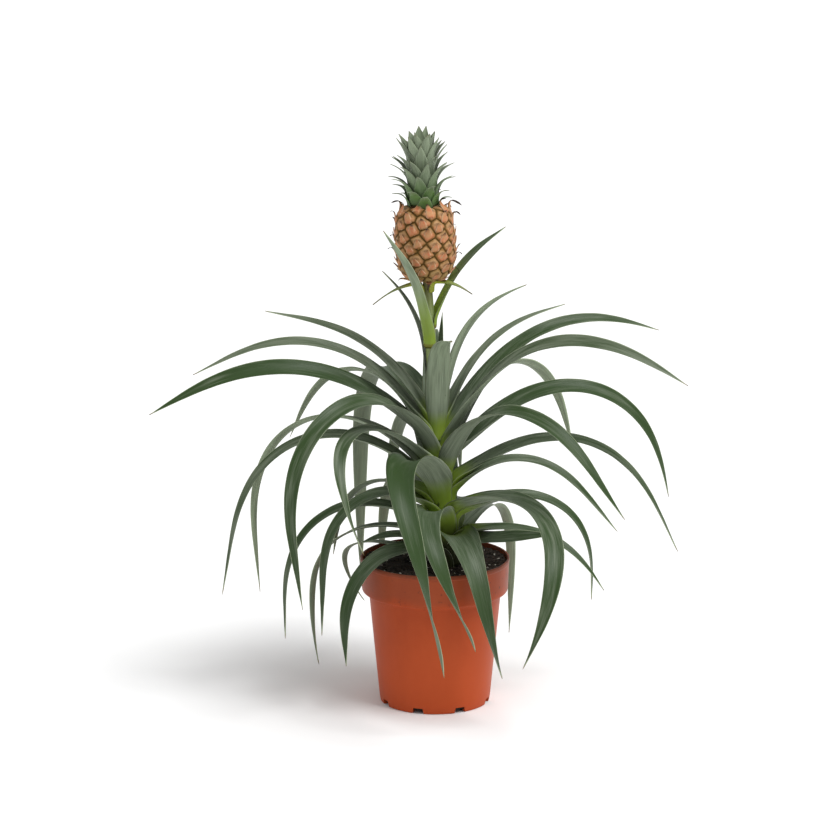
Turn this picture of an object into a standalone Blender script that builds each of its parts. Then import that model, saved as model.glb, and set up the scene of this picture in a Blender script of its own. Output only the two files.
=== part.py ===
"""Potted pineapple plant: a rosette of strap leaves in a nursery pot, with one small fruit.

Metres, +Z up. The origin is the middle of the pot's foot, on the surface it stands on.
+X is to the right of the plant's front, and -Y is the front.
"""
import math

import bmesh
import bpy
from mathutils import Matrix, Vector

MM = 0.001
GAP = 0.3 * MM                      # clearance between neighbouring pieces

# Pot: a thin moulded nursery pot with a deep rim band
POT_HEIGHT = 119 * MM
RIM_RADIUS = 60 * MM
RIM_BAND = 27 * MM
RIM_TAPER = 1.2 * MM
BODY_TOP_RADIUS = 53 * MM
FOOT_RADIUS = 44 * MM
POT_WALL = 1.4 * MM
POT_FLOOR = 1.8 * MM
POT_STEPS = 40
DRAIN_COUNT = 8
DRAIN_FIRST = -108                  # degrees from +X
DRAIN_WIDTH = 10 * MM
DRAIN_HEIGHT = 4.5 * MM
DRAIN_DEPTH = 7 * MM

# Soil: the plug that fills the pot to just under the rim
SOIL_DROP = 7 * MM
SOIL_CROWN = 1.5 * MM

# Stem: leans a little to the left as it rises
STEM_FOOT = (13 * MM, 0, 92 * MM)
STEM_TOP = (0, 0, 240 * MM)
STEM_FOOT_RADIUS = 9.5 * MM
STEM_TOP_RADIUS = 5.5 * MM
STALK_TOP = (-6.5 * MM, 0, 347.4 * MM)
STALK_FOOT_RADIUS = 5 * MM
STALK_TOP_RADIUS = 3.6 * MM

# Fruit and its crown share one tilted axis
FRUIT_FOOT_Z = 348 * MM
FRUIT_HEIGHT = 57 * MM
FRUIT_RADIUS = 23.5 * MM
FRUIT_TILT = -3                     # degrees about Y: the top leans to the left
CROWN_HEIGHT = 61 * MM
CROWN_CORE_RADIUS = 8.5 * MM
CROWN_BLADES = 26
CROWN_TWIST = 9                     # degrees: a crown leaf's turn about its own length
GOLDEN_ANGLE = 137.5                # degrees between one crown leaf and the next

# Leaves
LEAF_THICKNESS = 0.9 * MM
LEAF_STEPS = 12                     # segments along a leaf
TIP_WIDTH = 1.8 * MM
BEND_SPREAD = 0.45                  # share of the length over which a leaf bends
ROLL_END = 0.7                      # share of the length where its roll is complete

# Rosette leaves, from the lowest to the highest. Each row: name, height where it leaves the
# stem (mm), heading at its base and tip (degrees from +X), length and width (mm), rise angle
# at the base and at the tip (degrees above level), where along its length it bends, and roll
# of its face at the tip (degrees).
ROSETTE = [
    ("leaf_low_left_back", 114.5, 155, 20, 175, 7, 15, -55, 0.45, 0),
    ("leaf_low_left_stub", 128, 185, 185, 64, 12, 26, -20, 0.50, -25),
    ("leaf_low_left_dark", 121, 212, 212, 152, 18, 20, -92, 0.45, -20),
    ("leaf_low_left_thin", 135, 172, 30, 214, 8, 20, -78, 0.34, 0),
    ("leaf_low_left_long", 144, 185, 185, 205, 12, 30, -90, 0.45, -30),
    ("leaf_left_hanging", 155, 197, 190, 188, 14, 46, -88, 0.32, -30),
    ("leaf_left_grey", 164, 160, 160, 130, 14, 30, -80, 0.45, 25),
    ("leaf_left_wide_arch", 175, 180, 180, 270, 13, 48, -80, 0.42, -35),
    ("leaf_left_rear_arch", 184, 157, 157, 292, 12, 44, -95, 0.43, 35),
    ("leaf_left_front_arch", 193, 207, 360, 208, 14, 48, -66, 0.45, -15),
    ("leaf_left_great_arch", 199, 221, 200, 296, 17, 65, -98, 0.40, -42),
    ("leaf_left_high_rear", 209, 142, 142, 200, 12, 55, -62, 0.48, 35),
    ("leaf_left_high_dark", 215, 185, 185, 250, 19, 42, -29, 0.50, -50),
    ("leaf_left_high_long", 223, 175, 175, 222, 12, 53, -28, 0.50, -40),
    ("leaf_left_top", 231, 165, 165, 166, 13, 60, 8, 0.45, -20),
    ("leaf_low_right_front", 130, -33, -30, 93, 16, 17, 10, 0.50, 45),
    ("leaf_low_right_back", 124, 60, 110, 225, 12, 38, -82, 0.36, 0),
    ("leaf_low_right", 139, -15, -15, 140, 10, 12, -55, 0.55, 30),
    ("leaf_right_short_arch", 152, 10, 10, 178, 13, 22, -90, 0.50, 35),
    ("leaf_right_front_arch", 158, -38, -172, 240, 22, 26, -62, 0.42, -10),
    ("leaf_right_thin", 170, -5, -5, 165, 11, 52, -50, 0.38, 35),
    ("leaf_right_wide_arch", 178, 20, 20, 256, 12, 31, -64, 0.46, 45),
    ("leaf_right_broad", 187, -43, -5, 228, 20, 71, -54, 0.40, 20),
    ("leaf_right_high_arch", 198, 12, 12, 256, 17, 42, -78, 0.54, 50),
    ("leaf_right_rear_arch", 204, 52, 50, 240, 15, 49, -70, 0.50, -30),
    ("leaf_right_high_front", 212, -20, -20, 248, 16, 60, -28, 0.52, 45),
    ("leaf_right_high_long", 220, 22, 22, 222, 14, 53, -20, 0.55, 45),
    ("leaf_right_top_broad", 239, -18, -22, 136, 18, 78, 24, 0.62, -15),
    ("leaf_right_top_thin", 228, 28, 28, 150, 9, 66, 10, 0.50, 20),
    ("leaf_front_right", 137, -75, -6, 156, 22, 30, -72, 0.20, 0),
    ("leaf_front_middle", 147, -109, 60, 184, 20, 50, -64, 0.25, 0),
    ("leaf_front_great", 166, -120, 62, 284, 24, 66, -76, 0.30, 0),
    ("leaf_front_upright", 224, -88, -74, 128, 22, 76, 8, 0.62, 0),
    ("leaf_back_1", 118, 95, 80, 150, 14, 25, -70, 0.45, 0),
    ("leaf_back_2", 132, 80, 95, 180, 14, 30, -80, 0.45, 0),
    ("leaf_back_3", 143, 115, 100, 200, 15, 35, -80, 0.45, 0),
    ("leaf_back_4", 157, 90, 90, 220, 16, 45, -80, 0.45, 0),
    ("leaf_back_5", 171, 105, 110, 230, 17, 50, -75, 0.45, 0),
    ("leaf_back_6", 184, 85, 80, 220, 16, 55, -70, 0.45, 0),
    ("leaf_back_left_broad", 198, 114, 80, 370, 20, 56, -84, 0.34, 0),
    ("leaf_back_7", 212, 95, 85, 210, 16, 65, -50, 0.50, 0),
]

# Leaves and bracts that clasp the flower stalk, in the same columns
STALK_LEAVES = [
    ("stalk_leaf_rear", 243, 62, 62, 75, 8, 86, 84, 0.50, 0),
    ("stalk_leaf_left", 250, 150, 150, 112, 12, 86, 38, 0.60, 10),
    ("stalk_leaf_front", 298, -118, -118, 128, 11, 76, 42, 0.35, 0),
    ("stalk_leaf_right", 314, 20, 20, 95, 11, 68, 32, 0.50, 20),
    ("bract_left", 343, 185, 185, 43, 4, -8, -38, 0.50, 0),
    ("bract_right", 344, -15, -15, 34, 4, 4, -30, 0.50, 0),
]


def new_collection(name):
    collection = bpy.data.collections.new(name)
    bpy.context.scene.collection.children.link(collection)
    return collection


def make_material(name, colour, roughness):
    material = bpy.data.materials.new(name)
    material.use_nodes = True
    shader = material.node_tree.nodes["Principled BSDF"]
    shader.inputs["Base Color"].default_value = (*colour, 1.0)
    shader.inputs["Roughness"].default_value = roughness
    shader.inputs["Metallic"].default_value = 0.0
    return material


def add_mesh(name, bm, collection, material, smooth=True):
    mesh = bpy.data.meshes.new(name)
    bm.to_mesh(mesh)
    bm.free()
    if smooth:
        mesh.shade_smooth()
        mesh.set_sharp_from_angle(angle=math.radians(40))
    piece = bpy.data.objects.new(name, mesh)
    piece.data.materials.append(material)
    collection.objects.link(piece)
    return piece


def turned(name, profile, steps, collection, material):
    """A profile of (radius, height) turned about Z. It runs down its outer side."""
    bm = bmesh.new()
    points = [bm.verts.new((radius, 0, height)) for radius, height in profile]
    for first, second in zip(points, points[1:]):
        bm.edges.new((first, second))
    piece = add_mesh(name, bm, collection, material, smooth=False)
    screw = piece.modifiers.new("turn", "SCREW")
    screw.steps = steps
    screw.render_steps = steps
    screw.use_merge_vertices = True
    screw.merge_threshold = 0.00001
    return piece


def apply_modifiers(piece):
    """Keep the evaluated mesh and drop the modifiers that made it."""
    bpy.context.view_layer.update()
    evaluated = piece.evaluated_get(bpy.context.evaluated_depsgraph_get())
    mesh = bpy.data.meshes.new_from_object(evaluated)
    piece.modifiers.clear()
    piece.data = mesh


def boolean(piece, other, operation, solver="EXACT"):
    cut = piece.modifiers.new(operation.lower(), "BOOLEAN")
    cut.operation = operation
    cut.solver = solver
    cut.object = other


def hide_as_tool(piece):
    piece.hide_render = True
    piece.display_type = "WIRE"


def pot_outer_radius(height):
    """Outer radius of the pot's tapered body."""
    share = height / (POT_HEIGHT - RIM_BAND)
    return FOOT_RADIUS + (BODY_TOP_RADIUS - FOOT_RADIUS) * share


def make_pot(collection, tools, material):
    band_foot = POT_HEIGHT - RIM_BAND
    lip = 1.5 * MM
    inner_foot = pot_outer_radius(POT_FLOOR) - POT_WALL
    profile = [
        (0, POT_FLOOR),
        (inner_foot, POT_FLOOR),
        (BODY_TOP_RADIUS - POT_WALL, band_foot + POT_WALL),
        (RIM_RADIUS - RIM_TAPER - POT_WALL, band_foot + 3 * POT_WALL),
        (RIM_RADIUS - POT_WALL - 0.4 * MM, POT_HEIGHT),
        (RIM_RADIUS - 0.4 * MM, POT_HEIGHT),
        (RIM_RADIUS, POT_HEIGHT - lip),
        (RIM_RADIUS - RIM_TAPER, band_foot + 2 * lip),
        (RIM_RADIUS - RIM_TAPER - lip, band_foot + lip / 2),
        (BODY_TOP_RADIUS, band_foot - lip),
        (FOOT_RADIUS + lip / 3, lip / 2),
        (FOOT_RADIUS, 0),
        (0, 0),
    ]
    pot = turned("pot", profile, POT_STEPS, collection, material)
    for index in range(DRAIN_COUNT):
        angle = math.radians(DRAIN_FIRST + index * 360 / DRAIN_COUNT)
        bm = bmesh.new()
        bmesh.ops.create_cube(bm, size=1)
        size = Vector((2 * DRAIN_DEPTH, DRAIN_WIDTH, 2 * DRAIN_HEIGHT))
        bmesh.ops.scale(bm, vec=size, verts=bm.verts)
        cutter = add_mesh(f"drain_cutter_{index + 1}", bm, tools, material, smooth=False)
        cutter.location = (FOOT_RADIUS * math.cos(angle), FOOT_RADIUS * math.sin(angle), 0)
        cutter.rotation_euler = (0, 0, angle)
        hide_as_tool(cutter)
        boolean(pot, cutter, "DIFFERENCE")
    return pot


def make_soil(collection, tools, material):
    top = POT_HEIGHT - SOIL_DROP
    foot = POT_FLOOR + GAP
    band_foot = POT_HEIGHT - RIM_BAND
    wall = POT_WALL + 2 * GAP
    rim_radius = RIM_RADIUS - RIM_TAPER - wall
    profile = [
        (0, top + SOIL_CROWN),
        (rim_radius * 0.6, top + SOIL_CROWN * 0.6),
        (rim_radius - 3 * MM, top),
        (rim_radius, top - 2 * MM),
        (rim_radius, band_foot + 3 * POT_WALL + 2 * GAP),
        (BODY_TOP_RADIUS - wall, band_foot + POT_WALL + 2 * GAP),
        (pot_outer_radius(foot) - wall, foot),
        (0, foot),
    ]
    soil = turned("soil", profile, POT_STEPS, collection, material)
    bm = bmesh.new()
    depth = top - STEM_FOOT[2] + 4 * GAP
    radius = STEM_FOOT_RADIUS + 5 * GAP
    bmesh.ops.create_cone(bm, cap_ends=True, segments=20, radius1=radius, radius2=radius, depth=2 * depth)
    cutter = add_mesh("stem_socket_cutter", bm, tools, material, smooth=False)
    cutter.location = (STEM_FOOT[0] - 1 * MM, 0, top + depth - 4 * GAP - (top - STEM_FOOT[2]))
    hide_as_tool(cutter)
    boolean(soil, cutter, "DIFFERENCE")
    return soil


def axis_point(height):
    """The point of the stem's and the stalk's bent centre line at a height."""
    foot, middle, top = STEM_FOOT, STEM_TOP, STALK_TOP
    low, high = (foot, middle) if height < middle[2] else (middle, top)
    share = (height - low[2]) / (high[2] - low[2])
    return [a + (b - a) * share for a, b in zip(low, high)]


def axis_radius(height):
    if height < STEM_TOP[2]:
        share = (height - STEM_FOOT[2]) / (STEM_TOP[2] - STEM_FOOT[2])
        return STEM_FOOT_RADIUS + (STEM_TOP_RADIUS - STEM_FOOT_RADIUS) * share
    share = (height - STEM_TOP[2]) / (STALK_TOP[2] - STEM_TOP[2])
    return STALK_FOOT_RADIUS + (STALK_TOP_RADIUS - STALK_FOOT_RADIUS) * share


def make_rod(name, low, high, low_radius, high_radius, collection, material):
    """A tapering round rod between two points: a curve with a bevel, made a mesh."""
    curve = bpy.data.curves.new(name, "CURVE")
    curve.dimensions = "3D"
    curve.bevel_depth = 1.0
    curve.bevel_resolution = 3
    curve.use_fill_caps = True
    line = curve.splines.new("POLY")
    line.points.add(1)
    line.points[0].co = (*low, 1)
    line.points[1].co = (*high, 1)
    line.points[0].radius = low_radius
    line.points[1].radius = high_radius
    guide = bpy.data.objects.new(name + "_guide", curve)
    bpy.context.scene.collection.objects.link(guide)
    bpy.context.view_layer.update()
    evaluated = guide.evaluated_get(bpy.context.evaluated_depsgraph_get())
    mesh = bpy.data.meshes.new_from_object(evaluated)
    bm = bmesh.new()
    bm.from_mesh(mesh)
    bmesh.ops.remove_doubles(bm, verts=bm.verts, dist=0.00001)
    bpy.data.meshes.remove(mesh)
    bpy.data.objects.remove(guide)
    return add_mesh(name, bm, collection, material)


def smooth_share(share):
    share = min(max(share, 0.0), 1.0)
    return share * share * (3 - 2 * share)


def leaf_frames(row, radius, samples):
    """Points, side directions and upper normals along a leaf's middle line."""
    _, height, head_base, head_tip, length, _, rise, droop, bend, roll = row
    height = height * MM
    step = length * MM / samples
    heading = math.radians(head_base)
    centre = axis_point(height)
    point = [centre[0] + radius * math.cos(heading), centre[1] + radius * math.sin(heading), height]
    frames = []
    for index in range(samples + 1):
        share = index / samples
        frames.append((list(point), *leaf_directions(share, row)))
        middle = share + 0.5 / samples
        _, _, ahead = leaf_directions(middle, row)
        point = [a + step * b for a, b in zip(point, ahead)]
    return frames


def leaf_directions(share, row):
    """Side direction, upper normal and forward direction at a share of the length."""
    _, _, head_base, head_tip, _, _, rise, droop, bend, roll = row
    turn = smooth_share((share - bend) / (2 * BEND_SPREAD) + 0.5)
    start = smooth_share(-bend / (2 * BEND_SPREAD) + 0.5)
    turn = (turn - start) / (1 - start)
    pitch = math.radians(rise + (droop - rise) * turn)
    heading = math.radians(head_base + (head_tip - head_base) * share ** 2)
    ahead = (math.cos(pitch) * math.cos(heading), math.cos(pitch) * math.sin(heading), math.sin(pitch))
    side = (-math.sin(heading), math.cos(heading), 0.0)
    upper = (-math.sin(pitch) * math.cos(heading), -math.sin(pitch) * math.sin(heading), math.cos(pitch))
    spin = math.radians(roll * smooth_share(share / ROLL_END))
    rolled_side = [math.cos(spin) * a + math.sin(spin) * b for a, b in zip(side, upper)]
    rolled_upper = [math.cos(spin) * b - math.sin(spin) * a for a, b in zip(side, upper)]
    return rolled_side, rolled_upper, ahead


def leaf_half_width(share, width, base_share):
    """Half the leaf's width: broad low down, then a long taper to the tip."""
    swell = base_share + (1 - base_share) * smooth_share(share / 0.22)
    taper = (1 - share ** 2.2) ** 0.9 if share < 1 else 0.0
    return max(width / 2 * swell * taper, TIP_WIDTH / 2)


def gutter_depth(share, half_width, clasp):
    """How far the edges stand above the middle line: a clasp at the base, then a shallow gutter."""
    open_gutter = 0.35 * half_width
    return open_gutter + (half_width * half_width / (2 * clasp) - open_gutter) * (1 - smooth_share(share / 0.15))


def make_leaf(row, base_share, collection, material):
    name, height, width = row[0], row[1] * MM, row[5] * MM
    clasp = axis_radius(height) + GAP + LEAF_THICKNESS
    frames = leaf_frames(row, clasp, LEAF_STEPS)
    bm = bmesh.new()
    bmesh.ops.create_grid(bm, x_segments=2, y_segments=LEAF_STEPS, size=1)
    for vert in bm.verts:
        across = round(vert.co.x)
        along = round((vert.co.y + 1) / 2 * LEAF_STEPS)
        share = along / LEAF_STEPS
        point, side, upper, _ = (Vector(part) for part in frames[along])
        half = leaf_half_width(share, width, base_share)
        lift = gutter_depth(share, half, clasp) * abs(across)
        vert.co = point + side * half * across + upper * lift
    leaf = add_mesh(name, bm, collection, material)
    shell = leaf.modifiers.new("thickness", "SOLIDIFY")
    shell.thickness = LEAF_THICKNESS
    shell.offset = 0
    shell.use_even_offset = True
    return leaf


def fruit_matrix():
    foot = Vector((STALK_TOP[0], STALK_TOP[1], FRUIT_FOOT_Z))
    return Matrix.Translation(foot) @ Matrix.Rotation(math.radians(FRUIT_TILT), 4, "Y")


def make_fruit(collection, material):
    levels = 10
    profile = [(0, FRUIT_HEIGHT)]
    for index in range(1, levels):
        angle = math.pi * index / levels
        bulge = math.sin(angle) ** 0.42
        profile.append((FRUIT_RADIUS * bulge, FRUIT_HEIGHT * (1 + math.cos(angle)) / 2))
    profile.append((0, 0))
    fruit = turned("fruit", profile, 24, collection, material)
    fruit.matrix_world = fruit_matrix()
    return fruit


def crown_blade(number):
    """One crown leaf as a slim four-sided wedge, from the core outwards and up."""
    level = number / (CROWN_BLADES - 1)
    foot = CROWN_HEIGHT * (0.05 + 0.6 * level)
    length = CROWN_HEIGHT * (0.33 + 0.02 * level)
    pitch = math.radians(12 + 66 * level)
    bm = bmesh.new()
    bmesh.ops.create_cone(bm, cap_ends=True, segments=4, radius1=4.5 * MM, radius2=0.6 * MM, depth=length)
    bmesh.ops.scale(bm, vec=(0.35, 1, 1), verts=bm.verts)
    slide = Matrix.Translation((0, 0, length / 2))
    twist = Matrix.Rotation(math.radians(CROWN_TWIST), 4, "Z")
    lean = Matrix.Rotation(math.pi / 2 - pitch, 4, "Y")
    start = Matrix.Translation((CROWN_CORE_RADIUS * (0.4 - 0.25 * level), 0, foot))
    turn = Matrix.Rotation(math.radians(GOLDEN_ANGLE * number), 4, "Z")
    bmesh.ops.transform(bm, matrix=turn @ start @ lean @ twist @ slide, verts=bm.verts)
    return bm


def make_crown(collection, tools, material):
    bm = bmesh.new()
    bmesh.ops.create_cone(bm, cap_ends=True, segments=12, radius1=CROWN_CORE_RADIUS,
                          radius2=3 * MM, depth=0.72 * CROWN_HEIGHT)
    bmesh.ops.translate(bm, vec=(0, 0, 0.36 * CROWN_HEIGHT), verts=bm.verts)
    crown = add_mesh("crown", bm, collection, material, smooth=False)
    for number in range(CROWN_BLADES):
        blade = add_mesh(f"crown_blade_{number + 1}", crown_blade(number), tools, material, False)
        hide_as_tool(blade)
        boolean(crown, blade, "UNION")
    apply_modifiers(crown)
    lift = Matrix.Translation((0, 0, FRUIT_HEIGHT + GAP))
    crown.matrix_world = fruit_matrix() @ lift
    return crown


def main():
    for item in list(bpy.data.objects):
        bpy.data.objects.remove(item)
    plant = new_collection("potted_pineapple")
    tools = new_collection("cutters")
    terracotta = make_material("pot_plastic", (0.42, 0.075, 0.026), 0.45)
    earth = make_material("potting_soil", (0.012, 0.007, 0.004), 0.95)
    green = make_material("leaf_green", (0.045, 0.085, 0.04), 0.42)
    pale = make_material("stalk_green", (0.28, 0.36, 0.12), 0.5)
    skin = make_material("fruit_skin", (0.6, 0.28, 0.15), 0.6)
    tuft = make_material("crown_green", (0.12, 0.2, 0.12), 0.5)
    make_pot(plant, tools, terracotta)
    make_soil(plant, tools, earth)
    make_rod("stem", STEM_FOOT, STEM_TOP, STEM_FOOT_RADIUS, STEM_TOP_RADIUS, plant, pale)
    stalk_foot = (STEM_TOP[0], STEM_TOP[1], STEM_TOP[2] + GAP)
    make_rod("flower_stalk", stalk_foot, STALK_TOP, STALK_FOOT_RADIUS, STALK_TOP_RADIUS, plant, pale)
    for row in ROSETTE:
        make_leaf(row, 0.6, plant, green)
    for row in STALK_LEAVES:
        make_leaf(row, 0.5, plant, green)
    make_fruit(plant, skin)
    make_crown(plant, tools, tuft)


if __name__ == "__main__":
    main()
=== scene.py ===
"""Potted pineapple plant: leaves, fruit, crown, stalk, soil and pot in their final finish."""
import math
from collections import namedtuple

import bmesh
import bpy
import numpy as np
from mathutils import Matrix, Vector


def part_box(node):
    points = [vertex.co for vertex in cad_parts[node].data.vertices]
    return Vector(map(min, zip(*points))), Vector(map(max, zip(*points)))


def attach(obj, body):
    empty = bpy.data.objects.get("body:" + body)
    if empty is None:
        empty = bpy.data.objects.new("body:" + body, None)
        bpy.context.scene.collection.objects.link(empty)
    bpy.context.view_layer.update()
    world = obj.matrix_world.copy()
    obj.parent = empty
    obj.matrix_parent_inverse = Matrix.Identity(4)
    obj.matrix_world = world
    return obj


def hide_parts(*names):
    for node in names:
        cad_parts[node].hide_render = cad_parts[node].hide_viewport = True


bl_info = {
    "name": "Potted Pineapple",
    "version": (1, 0, 0),
    "blender": (4, 5, 0),
    "location": "View3D > Sidebar > Pineapple",
    "description": "Makes a young pineapple plant in its nursery pot, piece by piece",
    "category": "Add Mesh",
}

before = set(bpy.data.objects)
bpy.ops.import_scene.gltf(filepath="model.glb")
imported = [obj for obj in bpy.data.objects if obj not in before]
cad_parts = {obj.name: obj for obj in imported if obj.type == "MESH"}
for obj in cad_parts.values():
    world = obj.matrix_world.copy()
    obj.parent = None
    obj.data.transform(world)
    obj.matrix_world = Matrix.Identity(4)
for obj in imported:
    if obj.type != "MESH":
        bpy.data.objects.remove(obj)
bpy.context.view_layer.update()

MM = 0.001
GOLDEN_ANGLE = 137.508              # degrees between neighbours on a growing tip
POT_TOP = Vector(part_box("pot")[1])
SOIL_LOW, SOIL_HIGH = (Vector(corner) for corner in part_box("soil"))
FRUIT_LOW, FRUIT_HIGH = (Vector(corner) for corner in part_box("fruit"))
FRUIT_HEIGHT = FRUIT_HIGH.z - FRUIT_LOW.z
CROWN_LOW, CROWN_HIGH = (Vector(corner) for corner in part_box("crown"))

# The bent centre line of the stem and of the stalk: (x, y, z) and radius at the foot and the top
STEM = (((0.013, 0, 0.092), 0.0095), ((0, 0, 0.240), 0.0055))
STALK = (((0, 0, 0.2403), 0.005), ((-0.0065, 0, 0.3474), 0.0036))
FRUIT_TILT = -3                     # degrees about Y

LEAF_THICKNESS = 0.9 * MM           # as in the solids that the blades stand for
STEM_CLEARANCE = 0.3 * MM
THINNEST = 0.3 * MM                 # half the width of a leaf at its very tip
BEND_SPREAD = 0.45
ROLL_END = 0.7
BLADE_SAMPLES = 72
SHEATH = 1.5                        # how far a leaf's sheath runs down, in radii of the stem
SHEATH_PITCH = 88                   # degrees
CLASP_END = 1.2                     # where a leaf has its own direction, in the same radii
CLASP_START = 0.5                   # below its foot by this much it runs along the stem
OPEN_FLARE = 1.78                   # an open leaf's width near its base over that of its middle
UPRIGHT_FLARE = 1.05                # the same for an upright leaf and for the stalk's leaves
UPRIGHT_RISE = 71                   # degrees; a leaf that rises more than this counts as upright
STALK_LEAVES = 235                  # mm; so does a leaf above this height

FIRST_BRACT = 60                    # its number among the leaves, for its seed
OPENING = (-2 * MM, 34 * MM)        # where along a leaf its sheath opens into the blade
SHEATH_HALF = 1.35                  # half the width of a sheath, in its own radii
RIPPLES = 38.0                      # along a margin, to the metre
BLADE_GRID = (13, 81)               # points across and along a blade
SCALE_GRID = (9, 13)
CROWN_GRID = (9, 19)
ROD_RINGS, ROD_SIDES = 96, 40
FRUIT_RINGS, FRUIT_SIDES = 132, 200
SEAM_WIDTH = 5.2 * MM
EYE_HALF = 6 * MM
JOINT_HEIGHT = 0.307                # of the stalk's yellow joint

POT_LOW_RADIUS = 44 * MM
POT_SHOULDER_RADIUS = 53 * MM
RIM_TAPER = 1.2 * MM
CORNER_RADIUS = 0.7 * MM
DRAIN_COUNT = 8
DRAIN_FIRST = -108                  # degrees from +X
DRAIN_SIZE = (14 * MM, 11 * MM, 9 * MM)

CAMERA_PLACE = (-0.012, -3.37, 1.07)
CAMERA_AIM = (-0.012, 0, 0.232)
CAMERA_LENS = 186.6                 # mm, on a sensor 36 mm wide
KEY_DIRECTION = (0.42, -0.27, 0.87)
FLOOR_DROP = 0.2 * MM

# Name, height on the stem (mm), heading at base and tip (degrees from +X), length and width (mm),
# rise at base and tip (degrees), where it bends, roll at the tip (degrees), tone 0 to 1 (grey bloom and
# painted sheen)
Leaf = namedtuple("Leaf", "name foot heading heading_tip length width rise droop bend roll tone")
LEAVES = [Leaf(*row) for row in (
    ("leaf_low_left_back", 114.5, 155, 20, 175, 7, 15, -55, 0.45, 0, 0.4),
    ("leaf_low_left_stub", 128, 185, 185, 64, 12, 26, -20, 0.50, -25, 0.2),
    ("leaf_low_left_dark", 121, 212, 212, 152, 18, 20, -92, 0.45, -20, 0.15),
    ("leaf_low_left_thin", 135, 172, 30, 214, 8, 20, -78, 0.34, 0, 0.5),
    ("leaf_low_left_long", 144, 185, 185, 205, 12, 30, -90, 0.45, -30, 0.3),
    ("leaf_left_hanging", 155, 197, 190, 188, 14, 46, -88, 0.32, -30, 0.3),
    ("leaf_left_grey", 164, 160, 160, 130, 14, 30, -80, 0.45, 25, 0.6),
    ("leaf_left_wide_arch", 175, 180, 180, 270, 13, 48, -80, 0.42, -35, 0.6),
    ("leaf_left_rear_arch", 184, 157, 157, 292, 12, 44, -95, 0.43, 35, 0.8),
    ("leaf_left_front_arch", 193, 207, 360, 208, 14, 48, -66, 0.45, -15, 0.55),
    ("leaf_left_great_arch", 199, 221, 200, 296, 17, 65, -98, 0.40, -42, 0.35),
    ("leaf_left_high_rear", 209, 142, 142, 200, 12, 55, -62, 0.48, 35, 0.8),
    ("leaf_left_high_dark", 215, 185, 185, 250, 19, 42, -29, 0.50, -50, 0.15),
    ("leaf_left_high_long", 223, 175, 175, 222, 12, 53, -28, 0.50, -40, 0.9),
    ("leaf_left_top", 231, 165, 165, 166, 13, 60, 8, 0.45, -20, 0.8),
    ("leaf_low_right_front", 130, -33, -30, 93, 16, 17, 10, 0.50, 45, 0.2),
    ("leaf_low_right_back", 124, 60, 110, 225, 12, 38, -82, 0.36, 0, 0.7),
    ("leaf_low_right", 139, -15, -15, 140, 10, 12, -55, 0.55, 30, 0.2),
    ("leaf_right_short_arch", 152, 10, 10, 178, 13, 22, -90, 0.50, 35, 0.3),
    ("leaf_right_front_arch", 158, -38, -172, 240, 22, 26, -62, 0.42, -10, 0.4),
    ("leaf_right_thin", 170, -5, -5, 165, 11, 52, -50, 0.38, 35, 0.5),
    ("leaf_right_wide_arch", 178, 20, 20, 256, 12, 31, -64, 0.46, 45, 0.5),
    ("leaf_right_broad", 187, -43, -5, 228, 20, 71, -54, 0.40, 20, 0.3),
    ("leaf_right_high_arch", 198, 12, 12, 256, 17, 42, -78, 0.54, 50, 0.2),
    ("leaf_right_rear_arch", 204, 52, 50, 240, 15, 49, -70, 0.50, -30, 0.8),
    ("leaf_right_high_front", 212, -20, -20, 248, 16, 60, -28, 0.52, 45, 0.75),
    ("leaf_right_high_long", 220, 22, 22, 222, 14, 53, -20, 0.55, 45, 0.35),
    ("leaf_right_top_broad", 239, -18, -22, 136, 18, 78, 24, 0.62, -15, 0.95),
    ("leaf_right_top_thin", 228, 28, 28, 150, 9, 66, 10, 0.50, 20, 0.8),
    ("leaf_front_right", 137, -75, -6, 156, 22, 30, -72, 0.20, 0, 0.15),
    ("leaf_front_middle", 147, -109, 60, 184, 20, 50, -64, 0.25, 0, 0.15),
    ("leaf_front_great", 166, -120, 62, 284, 24, 66, -76, 0.30, 0, 0.05),
    ("leaf_front_upright", 224, -88, -74, 128, 22, 76, 8, 0.62, 0, 0.8),
    ("leaf_back_1", 118, 95, 80, 150, 14, 25, -70, 0.45, 0, 0.5),
    ("leaf_back_2", 132, 80, 95, 180, 14, 30, -80, 0.45, 0, 0.3),
    ("leaf_back_3", 143, 115, 100, 200, 15, 35, -80, 0.45, 0, 0.6),
    ("leaf_back_4", 157, 90, 90, 220, 16, 45, -80, 0.45, 0, 0.4),
    ("leaf_back_5", 171, 105, 110, 230, 17, 50, -75, 0.45, 0, 0.5),
    ("leaf_back_6", 184, 85, 80, 220, 16, 55, -70, 0.45, 0, 0.3),
    ("leaf_back_left_broad", 198, 114, 80, 370, 20, 56, -84, 0.34, 0, 0.25),
    ("leaf_back_7", 212, 95, 85, 210, 16, 65, -50, 0.50, 0, 0.5),
    ("stalk_leaf_rear", 243, 62, 62, 75, 8, 86, 84, 0.50, 0, 0.2),
    ("stalk_leaf_left", 250, 150, 150, 112, 12, 86, 38, 0.60, 10, 0.4),
    ("stalk_leaf_front", 298, -118, -118, 128, 11, 76, 42, 0.35, 0, 0.9),
    ("stalk_leaf_right", 314, 20, 20, 95, 11, 68, 32, 0.50, 20, 0.2),
)]
BRACTS = [Leaf(*row) for row in (
    ("bract_left", 343, 185, 185, 43, 4, -8, -38, 0.50, 0, 0.9),
    ("bract_right", 344, -15, -15, 34, 4, 4, -30, 0.50, 0, 0.9),
)]

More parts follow.
